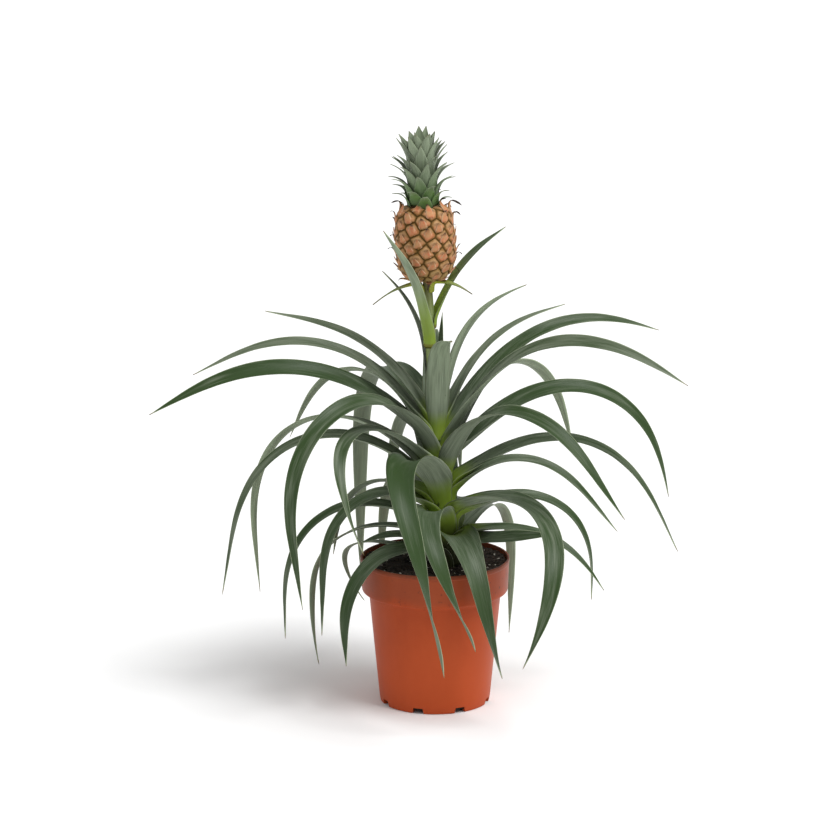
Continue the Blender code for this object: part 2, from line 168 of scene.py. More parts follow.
# Colours that no setting changes
LEAF_BLOOM = (0.33, 0.38, 0.29)
LEAF_SPOT = (0.02, 0.025, 0.012)
LEAF_RING = (0.20, 0.17, 0.03)
LEAF_DRY = (0.20, 0.13, 0.05)
STALK_GREEN = (0.19, 0.26, 0.07)
STALK_PALE = (0.34, 0.42, 0.16)
STALK_JOINT = (0.33, 0.32, 0.035)
STALK_BROWN = (0.16, 0.13, 0.05)
# painted shade for the stem's foot near the soil
STALK_FOOT_SHADE = (0.035, 0.034, 0.012)
BRACT_GREEN = (0.14, 0.20, 0.04)
BRACT_PALE = (0.28, 0.33, 0.09)
BRACT_YELLOW = (0.42, 0.46, 0.03)
BRACT_BROWN = (0.12, 0.10, 0.035)
SCALE_EDGE = (0.60, 0.42, 0.26)
SCALE_DRY = (0.25, 0.13, 0.055)
SCALE_WISP = (0.040, 0.024, 0.016)
EYE_SCAR = (0.10, 0.055, 0.03)
# brown mottling mixed with painted shade towards the seams
FRUIT_MOTTLE_AND_SHADE = (0.20, 0.095, 0.014)
FRUIT_KHAKI = (0.27, 0.20, 0.06)
CROWN_DEEP = (0.03, 0.06, 0.02)
CROWN_EDGE = (0.30, 0.34, 0.22)
CROWN_DRY = (0.13, 0.12, 0.06)
PERLITE_WHITE = (0.80, 0.77, 0.70)
PERLITE_GREY = (0.50, 0.46, 0.38)
POT_LIGHT = (0.45, 0.074, 0.018)
POT_DUST = (0.30, 0.10, 0.06)
POT_SPECK = (0.035, 0.018, 0.010)
# painted light: the lower wall lightened
POT_PAINTED_LIGHT = (0.49, 0.078, 0.019)
# painted shade of the leaves on the rim band
POT_RIM_SHADE = (0.21, 0.050, 0.020)
POT_STAIN = (0.10, 0.035, 0.018)
FLOOR_WHITE = (0.93, 0.93, 0.93, 1)


# ---------------------------------------------------------------- settings

def amount(name, description, default, **extra):
    return bpy.props.FloatProperty(name=name, description=description, default=default, **extra)


def count(name, description, default, least=0):
    return bpy.props.IntProperty(name=name, description=description, default=default, min=least)


def millimetres(name, description, default):
    return amount(name, description, default * MM, subtype="DISTANCE", unit="LENGTH", precision=5)


def colour(name, description, default):
    return bpy.props.FloatVectorProperty(
        name=name, description=description, default=default,
        subtype="COLOR", size=3, min=0.0, max=1.0)


class LeafSettings(bpy.types.PropertyGroup):
    thickness: millimetres("Thickness", "Thickness at the middle of a blade", 0.9)
    fullness: amount("Fullness", "Width over that of the solid leaves", 0.96, min=0.5, max=2.0)
    margin: millimetres("Margin", "Width of the pale margin", 0.6)
    upper: colour("Upper face", "Dark green of the upper face", (0.026, 0.054, 0.013))
    # partly real grey bloom, partly painted sheen standing in for the waxy face's highlight
    upper_bloom_and_sheen: colour("Upper sheen", "Lighter green of the upper face", (0.150, 0.180, 0.122))
    under: colour("Underside", "Grey-green of the underside", (0.180, 0.220, 0.145))
    base: colour("Base", "Yellow-green where a leaf clasps the stem", (0.270, 0.390, 0.030))
    # painted shade: darkens the lowest leaf bases near the soil, where shade falls
    shade: colour("Shaded base", "Dark brownish green of the lowest bases", (0.030, 0.036, 0.010))
    edge: colour("Margin colour", "Pale line along the margins", (0.40, 0.46, 0.30))


class FruitSettings(bpy.types.PropertyGroup):
    eyes: count("Eyes", "Number of eyes", 84, 20)
    relief: millimetres("Relief", "Height of an eye over its seams", 2.0)
    flesh: colour("Eye", "Salmon of an eye's lower half", (0.56, 0.180, 0.085))
    paper: colour("Bract", "Papery tan of a bract", (0.50, 0.290, 0.135))
    seam: colour("Seam", "Olive brown between the eyes", (0.085, 0.045, 0.004))


class CrownSettings(bpy.types.PropertyGroup):
    blades: count("Leaves", "Leaves in the crown", 56, 8)
    blade_width: millimetres("Leaf width", "Width of a crown leaf near its base", 14.5)
    blade_length: millimetres("Leaf length", "Length of a crown leaf", 34)
    green: colour("Green", "Grey-green of the crown", (0.270, 0.335, 0.215))
    bright: colour("Bright green", "Fresher green low in the crown", (0.085, 0.180, 0.030))


class SoilSettings(bpy.types.PropertyGroup):
    crumbs: count("Crumbs", "Crumbs of soil on the surface", 900)
    perlite: count("Perlite", "White grains on the surface", 60)
    dark: colour("Soil", "Dark peat", (0.012, 0.007, 0.004))


class PotSettings(bpy.types.PropertyGroup):
    wall: millimetres("Wall", "Thickness of the pot's wall", 1.4)
    rim_band: millimetres("Rim band", "Height of the rim's band", 27)
    plastic: colour("Plastic", "Terracotta orange of the pot", (0.40, 0.056, 0.0115))


class StageSettings(bpy.types.PropertyGroup):
    floor: amount("Floor", "Side of the floor", 12.0, subtype="DISTANCE", unit="LENGTH")
    key_strength: amount("Key light", "Strength of the key light, in W/m2", 2.6)
    key_softness: amount("Softness", "Angle that the key light fills", math.radians(30),
                         subtype="ANGLE", unit="ROTATION")
    sky: amount("Fill light", "Strength of the even light all round", 0.56)


# ---------------------------------------------------------------- node helpers

GEOMETRY = "NodeSocketGeometry"
MATERIAL = "NodeSocketMaterial"
SOCKETS = {float: "NodeSocketFloat", int: "NodeSocketInt", tuple: "NodeSocketVector"}


def plug(socket, value):
    """Link a field into a socket, or set the socket's own value."""
    if isinstance(value, Field):
        value.tree.links.new(value.socket, socket)
    else:
        socket.default_value = value


def add_node(tree, kind, links=None, **settings):
    node = tree.nodes.new(kind)
    for name, value in settings.items():
        setattr(node, name, value)
    for slot, value in (links or {}).items():
        plug(node.inputs[slot], value)
    return node


def field(tree, kind, links=None, output=0, **settings):
    """One output of a new node."""
    return Field(tree, add_node(tree, kind, links, **settings).outputs[output])


class Field:
    """A value in a node tree, with ordinary arithmetic that places the nodes."""

    def __init__(self, tree, socket):
        self.tree = tree
        self.socket = socket

    def math(self, operation, *values):
        return field(self.tree, "ShaderNodeMath", dict(enumerate((self, *values))), operation=operation)

    def __add__(self, other):
        return self.math("ADD", other)

    def __sub__(self, other):
        return self.math("SUBTRACT", other)

    def __rsub__(self, other):
        return (self * -1).math("ADD", other)

    def __mul__(self, other):
        return self.math("MULTIPLY", other)

    def __truediv__(self, other):
        return self.math("DIVIDE", other)

    def __pow__(self, other):
        return self.math("POWER", other)

    def step(self, low, high, to_low=0.0, to_high=1.0):
        """A smooth step from to_low at low to to_high at high."""
        links = {"Value": self, "From Min": low, "From Max": high, "To Min": to_low, "To Max": to_high}
        return field(self.tree, "ShaderNodeMapRange", links, "Result", interpolation_type="SMOOTHSTEP")

    def vector(self, operation, other):
        return field(self.tree, "ShaderNodeVectorMath", {0: self, 1: other}, "Vector", operation=operation)

    def scaled(self, factor):
        links = {0: self, "Scale": factor}
        return field(self.tree, "ShaderNodeVectorMath", links, "Vector", operation="SCALE")

    def through(self, kind, **links):
        """This geometry after a node, whose other inputs are given by name."""
        return field(self.tree, "GeometryNode" + kind, {0: self, **links})


def combined(x, y, z):
    tree = next(value.tree for value in (x, y, z) if isinstance(value, Field))
    return field(tree, "ShaderNodeCombineXYZ", {"X": x, "Y": y, "Z": z})


def separated(vector):
    node = add_node(vector.tree, "ShaderNodeSeparateXYZ", {0: vector})
    return [Field(vector.tree, output) for output in node.outputs]


def noise(vector, scale, detail=2.0, roughness=0.5):
    links = {"Vector": vector, "Scale": scale, "Detail": detail, "Roughness": roughness}
    return field(vector.tree, "ShaderNodeTexNoise", links)


def new_tree(name, kind, inputs, *outputs):
    """A node group with named inputs, each with its default or its kind of socket."""
    tree = bpy.data.node_groups.new(name, kind)
    for label, default in inputs.items():
        plain = isinstance(default, str)
        socket_type = default if plain else SOCKETS[type(default)]
        socket = tree.interface.new_socket(label, in_out="INPUT", socket_type=socket_type)
        if not plain:
            socket.default_value = default
    made = GEOMETRY if kind == "GeometryNodeTree" else SOCKETS[float]
    for label in outputs:
        tree.interface.new_socket(label, in_out="OUTPUT", socket_type=made)
    entry = tree.nodes.new("NodeGroupInput")
    return tree, [Field(tree, entry.outputs[label]) for label in inputs], tree.nodes.new("NodeGroupOutput")


def stored(geometry, data_type="FLOAT", domain="POINT", **values):
    """The geometry with named attributes."""
    for name, value in values.items():
        links = {"Geometry": geometry, "Name": name, "Value": value}
        geometry = field(geometry.tree, "GeometryNodeStoreNamedAttribute", links,
                         data_type=data_type, domain=domain)
    return geometry


def attributes(tree, *names, data_type="FLOAT"):
    kind = "GeometryNodeInputNamedAttribute"
    return [field(tree, kind, {"Name": name}, "Attribute", data_type=data_type) for name in names]


def joined(*parts):
    node = parts[0].tree.nodes.new("GeometryNodeJoinGeometry")
    for part in reversed(parts):
        plug(node.inputs[0], part)
    return Field(parts[0].tree, node.outputs[0])


def two_sided_sheet(tree, columns, rows):
    """A top and a bottom sheet, with across from -1 to 1 and along from 0 to 1 stored."""
    size = {"Size X": 2.0, "Size Y": 1.0, "Vertices X": columns, "Vertices Y": rows}
    top, bottom = (field(tree, "GeometryNodeMeshGrid", size) for _ in range(2))
    across, along, _ = separated(field(tree, "GeometryNodeInputPosition"))
    both = joined(stored(top, underside=0.0), stored(bottom.through("FlipFaces"), underside=1.0))
    return stored(both, across=across, along=along + 0.5)


def sheet_body(tree, half_thickness, foot_end, tip_start):
    """How far each face of a sheet stands off its middle, down to nothing along its rim."""
    across, along, underside = attributes(tree, "across", "along", "underside")
    lens = 1.0 - across.math("ABSOLUTE") ** 4.0
    ends = along.step(0.0, foot_end) * along.step(1.0, tip_start)
    return (1.0 - underside * 2.0) * half_thickness * lens * ends


def rolled(across, half, radius):
    """Sideways place and rise of a sheet that is bent to a radius."""
    angle = across * half / radius
    return radius * angle.math("SINE"), radius * (1.0 - angle.math("COSINE"))


def finish_tree(geometry, target, material, exit_node):
    """The sheets at their final place, welded, realized and in their material."""
    if target:
        placed = geometry.through("SetPosition", Position=target)
        geometry = placed.through("MergeByDistance", Distance=0.002 * MM).through("SetShadeSmooth")
    plug(exit_node.inputs[0], geometry.through("RealizeInstances").through("SetMaterial", Material=material))
    return geometry.tree


def new_piece(name, mesh):
    piece = bpy.data.objects.new(name, mesh)
    bpy.context.scene.collection.objects.link(piece)
    return piece


def evaluated_mesh(piece):
    bpy.context.view_layer.update()
    live = piece.evaluated_get(bpy.context.evaluated_depsgraph_get())
    return bpy.data.meshes.new_from_object(live)


def grown(name, mesh, tree, values):
    """Run a tree on a mesh and keep the result as a plain mesh."""
    piece = new_piece(name, mesh)
    modifier = piece.modifiers.new("shape", "NODES")
    modifier.node_group = tree
    for item in tree.interface.items_tree:
        if item.in_out == "INPUT" and item.name in values:
            modifier[item.identifier] = values[item.name]
    result = evaluated_mesh(piece)
    piece.modifiers.clear()
    piece.data = result
    bpy.data.meshes.remove(mesh)
    return piece


def settle(piece, slot, *nodes):
    """Ride on the only body and stand for its solids."""
    if not piece.data.polygons:
        raise RuntimeError(f"{piece.name} has no faces")
    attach(piece, "root")
    if nodes:
        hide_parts(*nodes)


# ---------------------------------------------------------------- mesh helpers

def kept_mesh(name, bm):
    mesh = bpy.data.meshes.new(name)
    bm.to_mesh(mesh)
    bm.free()
    return mesh


def lofted_mesh(name, loops):
    """A smooth closed mesh over loops of points, with a flat cap or a single point at each end."""
    bm = bmesh.new()
    levels = [[bm.verts.new(point) for point in loop] for loop in loops]
    for lower, upper in zip(levels, levels[1:]):
        sides = max(len(lower), len(upper))
        for side in range(sides):
            after = (side + 1) % sides
            corners = (lower[side % len(lower)], lower[after % len(lower)],
                       upper[after % len(upper)], upper[side % len(upper)])
            bm.faces.new(list(dict.fromkeys(corners)))
    for level in (levels[0], levels[-1]):
        if len(level) > 1:
            bm.faces.new(level)
    bmesh.ops.recalc_face_normals(bm, faces=bm.faces)
    for face in bm.faces:
        face.smooth = True
    return kept_mesh(name, bm)


def turned_mesh(name, profile, sides, spacing=None):
    """A closed turned mesh from a profile of (radius, height) that starts and ends on the axis."""
    points = []
    for (r0, z0), (r1, z1) in zip(profile, profile[1:]):
        cuts = max(1, round(math.hypot(r1 - r0, z1 - z0) / spacing)) if spacing else 1
        points += [(r0 + (r1 - r0) * i / cuts, z0 + (z1 - z0) * i / cuts) for i in range(1, cuts + 1)]
    turns = [2 * math.pi * side / sides for side in range(sides)]
    loops = [[(r * math.cos(turn), r * math.sin(turn), z) for turn in turns] for r, z in points[:-1]]
    return lofted_mesh(name, [[(0, 0, profile[0][1])], *loops, [(0, 0, profile[-1][1])]])


def store_on_points(mesh, **values):
    """Numbers or vectors as attributes of a mesh's points."""
    for label, rows in values.items():
        flat = np.array(rows, dtype=np.float32)
        kind, key = ("FLOAT", "value") if flat.ndim == 1 else ("FLOAT_VECTOR", "vector")
        mesh.attributes.new(label, kind, "POINT").data.foreach_set(key, flat.ravel())


# ---------------------------------------------------------------- material helpers

def new_material(name, roughness, **values):
    material = bpy.data.materials.new(name)
    material.use_nodes = True
    shader = material.node_tree.nodes["Principled BSDF"]
    shader.inputs["Roughness"].default_value = roughness
    for label, value in values.items():
        shader.inputs[label.replace("_", " ")].default_value = value
    return material, material.node_tree, shader


def surface_attributes(tree, *names):
    return [field(tree, "ShaderNodeAttribute", None, "Fac", attribute_name=name) for name in names]


def object_coordinates(tree):
    return field(tree, "ShaderNodeTexCoord", None, "Object")


def toned(shade, factor):
    return tuple(factor * value for value in shade)


def mixed(share, first, second):
    """The first colour where share is 0, the second where it is 1."""
    node = add_node(share.tree, "ShaderNodeMix", {0: share}, data_type="RGBA")
    for slot, value in ((6, first), (7, second)):
        plug(node.inputs[slot], value if isinstance(value, Field) else (*value, 1.0))
    return Field(share.tree, node.outputs[2])


def coated(first, *coats):
    """The first colour under coats of (share, colour), each over the one before."""
    for share, coat in coats:
        first = mixed(share, first, coat)
    return first


def finish_material(shader, base, height, distance, strength):
    """Base colour and fine relief on the shader."""
    plug(shader.inputs["Base Color"], base)
    links = {"Height": height, "Distance": distance, "Strength": strength}
    plug(shader.inputs["Normal"], field(height.tree, "ShaderNodeBump", links, "Normal"))


def placed_group(tree, group, *values):
    """The outputs of a shared group, given its inputs in order."""
    node = add_node(tree, "ShaderNodeGroup", node_tree=group)
    for socket, value in zip(node.inputs, values):
        plug(socket, value)
    return [Field(tree, socket) for socket in node.outputs]


def streaked(across, along, offset=0.0):
    """Fine and broad streaks along a leaf, from a group on millimetres across and along."""
    group = bpy.data.node_groups.get("long_streaks")
    if not group:
        inputs = {"Across": 0.0, "Along": 0.0, "Offset": 0.0}
        group, given, exit_node = new_tree("long_streaks", "ShaderNodeTree", inputs, "Fine", "Broad")
        side, length, seed = given
        plug(exit_node.inputs["Fine"], noise(combined(side * 2.2, length * 0.05, seed), 1.0, 3.0))
        plug(exit_node.inputs["Broad"], noise(combined(side * 0.33, length * 0.022, seed), 1.0, 2.0))
    return placed_group(across.tree, group, across, along, offset)


def mottled(place, patch_size):
    """Soft patches and fine grain for any surface, from a group on a place in metres."""
    group = bpy.data.node_groups.get("surface_mottle")
    if not group:
        inputs = {"Vector": (0.0, 0.0, 0.0), "Patch size": 0.01}
        group, given, exit_node = new_tree("surface_mottle", "ShaderNodeTree", inputs, "Patches", "Grain")
        spot, size = given
        patch = spot.vector("DIVIDE", combined(size, size, size))
        plug(exit_node.inputs["Patches"], noise(patch, 1.0, 4.0, 0.55))
        plug(exit_node.inputs["Grain"], noise(patch, 14.0, 3.0, 0.6))
    return placed_group(place.tree, group, place, patch_size)


# ---------------------------------------------------------------- leaves

def smooth_share(share):
    share = min(max(share, 0.0), 1.0)
    return share * share * (3 - 2 * share)


def axis_at(height):
    """Centre and radius of the stem or the stalk at a height."""
    low, high = STEM if height < STEM[1][0][2] else STALK
    share = (height - low[0][2]) / (high[0][2] - low[0][2])
    centre = [a + (b - a) * share for a, b in zip(low[0], high[0])]
    return centre, low[1] + (high[1] - low[1]) * share


def blade_directions(share, leaf, clasp=0.0):
    """Side, upper normal and forward directions at a share of a leaf's length.

    With a clasp, the stem's radius, the leaf bends down along the stem near its foot.
    """
    turn, start = (smooth_share((at - leaf.bend) / (2 * BEND_SPREAD) + 0.5) for at in (share, 0.0))
    pitch = leaf.rise + (leaf.droop - leaf.rise) * (turn - start) / (1 - start)
    if clasp:
        upright = (CLASP_END - share * leaf.length * MM / clasp) / (CLASP_END + CLASP_START)
        pitch += (SHEATH_PITCH - pitch) * smooth_share(upright)
    pitch = math.radians(pitch)
    heading = math.radians(leaf.heading + (leaf.heading_tip - leaf.heading) * max(share, 0) ** 2)
    level = Vector((math.cos(heading), math.sin(heading), 0))
    ahead = level * math.cos(pitch) + Vector((0, 0, math.sin(pitch)))
    side = Vector((-level.y, level.x, 0))
    upper = ahead.cross(side)
    spin = math.radians(leaf.roll * smooth_share(share / ROLL_END))
    return (math.cos(spin) * side + math.sin(spin) * upper,
            math.cos(spin) * upper - math.sin(spin) * side, ahead)


def blade_path(leaf):
    """The middle line of a leaf as a mesh line, with its side and upper directions stored.

    From CLASP_END outwards it is the solid's own middle line. Below that it bends down
    along the stem as the leaf's sheath. Returns the sheath's distance from the axis too.
    """
    height, length = leaf.foot * MM, leaf.length * MM
    centre, clasp = axis_at(height)
    radius = clasp + STEM_CLEARANCE + LEAF_THICKNESS
    heading = math.radians(leaf.heading)
    start = Vector((centre[0] + radius * math.cos(heading), centre[1] + radius * math.sin(heading), height))
    free_start = CLASP_END * clasp
    start += free_start * blade_directions(0.5 * free_start / length, leaf)[2]
    sheath = SHEATH * clasp
    step = (length + sheath) / BLADE_SAMPLES
    anchor = round((sheath + free_start) / step)
    shares = [((index - anchor) * step + free_start) / length for index in range(BLADE_SAMPLES + 1)]
    half_step = 0.5 * step / length
    points = [start]
    for share in shares[anchor:-1]:
        points.append(points[-1] + step * blade_directions(share + half_step, leaf, clasp)[2])
    for share in reversed(shares[1:anchor + 1]):
        points.insert(0, points[0] - step * blade_directions(share - half_step, leaf, clasp)[2])
    mesh = bpy.data.meshes.new("blade_path")
    mesh.from_pydata(points, [(i, i + 1) for i in range(BLADE_SAMPLES)], [])
    sides, uppers, _ = zip(*(blade_directions(share, leaf, clasp) for share in shares))
    store_on_points(mesh, side=sides, upper=uppers)
    foot = points[0]
    centre, _ = axis_at(max(foot.z, STEM[0][0][2]))
    return mesh, math.hypot(foot.x - centre[0], foot.y - centre[1]), sheath


def blade_tree():
    """A channelled blade along a path: clasping at its base, then open, with a long taper."""
    inputs = {"Path": GEOMETRY, "Width": 0.015, "Length": 0.2, "Sheath": 0.014, "Thickness": 0.0009,
              "Flare": 1.8, "Clasp radius": 0.01, "Ripple": 0.0006, "Tone": 0.5, "Seed": 0.0,
              "Material": MATERIAL}
    tree, given, exit_node = new_tree("leaf_blade", "GeometryNodeTree", inputs, "Leaf")
    path, width, length, sheath, thickness, flare, clasp, wave, tone, seed, material = given
    curve = path.through("MeshToCurve")
    leaf = two_sided_sheet(tree, *BLADE_GRID)
    across, along = attributes(tree, "across", "along")
    distance = along * (length + sheath) - sheath
    free = (distance / length).math("MAXIMUM", 0.0)
    opening = distance.step(*OPENING)
    taper = (1.0 - free ** 3.1).math("MAXIMUM", 0.0) ** 0.95 * free.step(0.05, 0.5, flare, 1.0)
    blade_half = (width * 0.5 * taper).math("MAXIMUM", THINNEST)
    clasp_half = (clasp * SHEATH_HALF).math("MINIMUM", width * 0.9 + 2 * MM)
    half = clasp_half + (blade_half - clasp_half) * opening
    gutter = half * free.step(0.0, 0.7, 1.15, 1.9)
    radius = clasp + (gutter - clasp) * opening
    size = across.math("ABSOLUTE")
    ripple = noise(combined(across.math("SIGN") * 3.0, along * length * RIPPLES, seed), 1.0)
    ripple = (ripple - 0.5) * wave * 2.0 * (size ** 2.0) * opening
    shift, rise = rolled(across, half, radius)
    lift = rise + ripple + sheet_body(tree, thickness * 0.5, 0.02, 0.985)
    samples = []
    for direction in attributes(tree, "side", "upper", data_type="FLOAT_VECTOR"):
        links = {"Curves": curve, "Factor": along, "Value": direction}
        sample = add_node(tree, "GeometryNodeSampleCurve", links, data_type="FLOAT_VECTOR", mode="FACTOR")
        samples.append([Field(tree, sample.outputs[label]) for label in ("Value", "Position")])
    (side, middle), (upper, _) = samples
    target = middle.vector("ADD", side.scaled(shift)).vector("ADD", upper.scaled(lift))
    leaf = stored(leaf, across_mm=across * half * 1000.0, along_mm=distance * 1000.0,
                  margin_mm=(1.0 - size) * half * 1000.0, free=free, tone=tone, seed=seed)
    return finish_tree(leaf, target, material, exit_node)


def leaf_material(settings):
    """Waxy strap leaf: dark above, grey-green and finely striped below, pale along its margins."""
    material, tree, shader = new_material("leaf_green", 0.42, Specular_IOR_Level=0.25)
    across, along, margin = surface_attributes(tree, "across_mm", "along_mm", "margin_mm")
    free, tone, seed, underside = surface_attributes(tree, "free", "tone", "seed", "underside")
    place = object_coordinates(tree)
    height = separated(place)[2]
    fine, broad = streaked(across, along, seed)
    # painted sheen mixed with real grey bloom: lighter streaks, and whole leaves lighter by their tone,
    # stand in for the waxy face's highlight
    sheen = (broad - 0.5) * 1.5 + (fine - 0.5) * 0.9 + tone * 0.8
    upper = mixed(sheen.step(0.05, 1.0), settings.upper, settings.upper_bloom_and_sheen)
    stripes = (fine - 0.5) * 1.1 + (broad - 0.5) * 0.6 + 0.5
    striped = mixed(stripes.step(0.2, 0.8), toned(settings.under, 0.62), settings.under)
    bloom = (stripes + (broad - 0.5) * 0.8).step(0.15, 0.75)
    bloomed = mixed(bloom, settings.under, toned(settings.under, 1.75))
    face = underside.step(0.35, 0.65)
    chalk = along.step(110.0, 25.0) * stripes.step(0.1, 0.9)
    spots = noise(place, 420.0, 1.0).step(0.72, 0.80) * along.step(90.0, 20.0)
    reach = height.step(0.190, 0.215, 29.0, 20.0) + height.step(0.300, 0.318, 0.0, 42.0)
    base = (along + (fine - 0.5) * 10.0).step(reach, 2.0)
    # painted shade: leaf bases low on the stem darkened towards the soil, where shade falls
    shaded = height.step(0.158, 0.130) * along.step(30.0, 8.0)
    ring = along.step(-2.4, -3.6) * height.step(0.262, 0.275)
    edge = margin.step(settings.margin / MM, 0.4 * settings.margin / MM)
    dry = (free + (fine - 0.5) * 0.05 + (tone - 0.5) * 0.01).step(0.970, 1.0)
    final = coated(upper, (face, mixed(tone.step(0.45, 1.0), striped, bloomed)), (chalk * 0.42, LEAF_BLOOM),
                   (spots * 0.6, LEAF_SPOT), (base * 0.9, settings.base), (shaded, settings.shade),
                   (ring * 0.8, LEAF_RING), (edge * 0.8, settings.edge), (dry, LEAF_DRY))
    plug(shader.inputs["Roughness"], (broad - 0.5) * 0.16 + face * 0.14 + 0.44)
    finish_material(shader, final, fine, 0.25 * MM, 0.6)
    return material


def make_blade(leaf, number, tree, material, settings, slot):
    path, radius, sheath = blade_path(leaf)
    upright = max(smooth_share((leaf.rise - UPRIGHT_RISE) / 5), smooth_share((leaf.foot - STALK_LEAVES) / 8))
    values = {"Width": leaf.width * MM * settings.fullness, "Length": leaf.length * MM, "Sheath": sheath,
              "Flare": OPEN_FLARE + (UPRIGHT_FLARE - OPEN_FLARE) * upright,
              "Thickness": settings.thickness, "Clasp radius": radius, "Tone": leaf.tone,
              "Seed": float(number * 7), "Material": material}
    settle(grown(leaf.name + "_blade", path, tree, values), slot, leaf.name)


class PINEAPPLE_OT_leaves(bpy.types.Operator):
    """Make every leaf of the rosette and of the flower stalk"""
    bl_idname = "pineapple.leaves"
    bl_label = "Leaves"

    def execute(self, context):
        settings = context.scene.pineapple_leaf
        tree = blade_tree()
        material = leaf_material(settings)
        for number, leaf in enumerate(LEAVES):
            make_blade(leaf, number, tree, material, settings, "leaf_green")
        return {"FINISHED"}


# ---------------------------------------------------------------- stem, stalk and bracts

def swept_rod(name, low, high, wobble, seed):
    """A tapering round stem with faint ridges and swollen joints."""
    (low_point, low_radius), (high_point, high_radius) = low, high
    loops = []
    for ring in range(ROD_RINGS + 1):
        share = ring / ROD_RINGS
        centre = Vector(low_point).lerp(Vector(high_point), share)
        radius = low_radius + (high_radius - low_radius) * share
        radius *= 1 + 0.05 * max(0.0, math.sin(share * wobble * 2 * math.pi)) ** 6
        loop = []
        for side in range(ROD_SIDES):
            angle = 2 * math.pi * side / ROD_SIDES
            ridge = 1 + 0.025 * math.sin(5 * angle + seed) + 0.012 * math.sin(11 * angle + 3 * share)
            loop.append(centre + Vector((math.cos(angle), math.sin(angle), 0)) * radius * ridge)
        loops.append(loop)
    return new_piece(name, lofted_mesh(name, loops))


def stalk_material():
    """Yellow-green stalk, browner under the fruit, with a yellow joint and painted shade darkening its foot
    near the soil.
    """
    material, tree, shader = new_material("stalk_green", 0.5)
    place = object_coordinates(tree)
    x, y, z = separated(place)
    patches, _ = mottled(place, 6 * MM)
    ribs = noise(combined(x * 900.0, y * 900.0, z * 30.0), 1.0, 2.0)
    fresh = mixed((ribs - 0.5) * 0.9 + 0.5, STALK_GREEN, STALK_PALE)
    joint = (z - JOINT_HEIGHT).math("ABSOLUTE").step(0.0035, 0.0012)
    brown = (z + (patches - 0.5) * 0.012).step(0.318, 0.345)
    # the last coat is painted shade: the stem darkened towards the soil, where shade falls
    final = coated(fresh, (joint * 0.8, STALK_JOINT), (brown * 0.75, STALK_BROWN),
                   (z.step(0.165, 0.130), STALK_FOOT_SHADE))
    finish_material(shader, final, ribs, 0.3 * MM, 0.7)
    return material


def bract_material():
    """Yellow-green bract with a browner tip."""
    material, tree, shader = new_material("bract_green", 0.5)
    across, along, free = surface_attributes(tree, "across_mm", "along_mm", "free")
    fine, _ = streaked(across, along)
    final = coated(mixed(fine, BRACT_GREEN, BRACT_PALE), (free.step(0.45, 0.1) * 0.85, BRACT_YELLOW),
                   (free.step(0.5, 1.0), BRACT_BROWN))
    finish_material(shader, final, fine, 0.2 * MM, 0.6)
    return material


class PINEAPPLE_OT_stalk(bpy.types.Operator):
    """Make the stem in the soil, the flower stalk and the bracts under the fruit"""
    bl_idname = "pineapple.stalk"
    bl_label = "Stem and stalk"

    def execute(self, context):
        settings = context.scene.pineapple_leaf
        material = stalk_material()
        stem = swept_rod("stem_body", *STEM, 14, 0.4)
        stalk = swept_rod("flower_stalk_body", *STALK, 3, 1.3)
        for piece, node in ((stem, "stem"), (stalk, "flower_stalk")):
            piece.data.materials.append(material)
            settle(piece, "stalk_green", node)
        tree = blade_tree()
        green = bract_material()
        for number, leaf in enumerate(BRACTS, FIRST_BRACT):
            make_blade(leaf, number, tree, green, settings, "bract_green")
        return {"FINISHED"}


# ---------------------------------------------------------------- fruit

def fruit_matrix():
    place = Matrix.Translation((STALK[1][0][0], 0, FRUIT_LOW.z))
    return place @ Matrix.Rotation(math.radians(FRUIT_TILT), 4, "Y")


def fruit_profile(share, radius):
    """Radius and height at a share of the way from the fruit's foot to its squarer top."""
    angle = math.pi * share
    power = 0.40 - 0.16 * smooth_share(2 * share - 0.8)
    return radius * math.sin(angle) ** power, FRUIT_HEIGHT * (1 - math.cos(angle)) / 2


def eye_places(eyes, radius):
    """Eyes on a spiral, each with an equal share of the skin: position, normal and up direction."""
    steps = 400
    ring = [fruit_profile(0.04 + 0.92 * i / steps, radius) for i in range(steps + 1)]
    area = [0.0]
    for (r0, z0), (r1, z1) in zip(ring, ring[1:]):
        area.append(area[-1] + (r0 + r1) * math.hypot(r1 - r0, z1 - z0))
    places = []
    for number in range(eyes):
        wanted = (number + 0.5 + 0.6 * math.sin(number * 5.1)) / eyes * area[-1]
        index = max(i for i, value in enumerate(area[:-1]) if value <= wanted)
        (r0, z0), (r1, z1) = ring[index], ring[index + 1]
        share = (wanted - area[index]) / (area[index + 1] - area[index])
        angle = math.radians(GOLDEN_ANGLE * number + 2.5 * math.sin(number * 3.7))
        outward = Vector((math.cos(angle), math.sin(angle), 0))
        spot = outward * (r0 + (r1 - r0) * share) + Vector((0, 0, z0 + (z1 - z0) * share))
        up = (outward * (r1 - r0) + Vector((0, 0, z1 - z0))).normalized()
        normal = (outward * (z1 - z0) - Vector((0, 0, r1 - r0))).normalized()
        places.append((spot, normal, up))
    return places


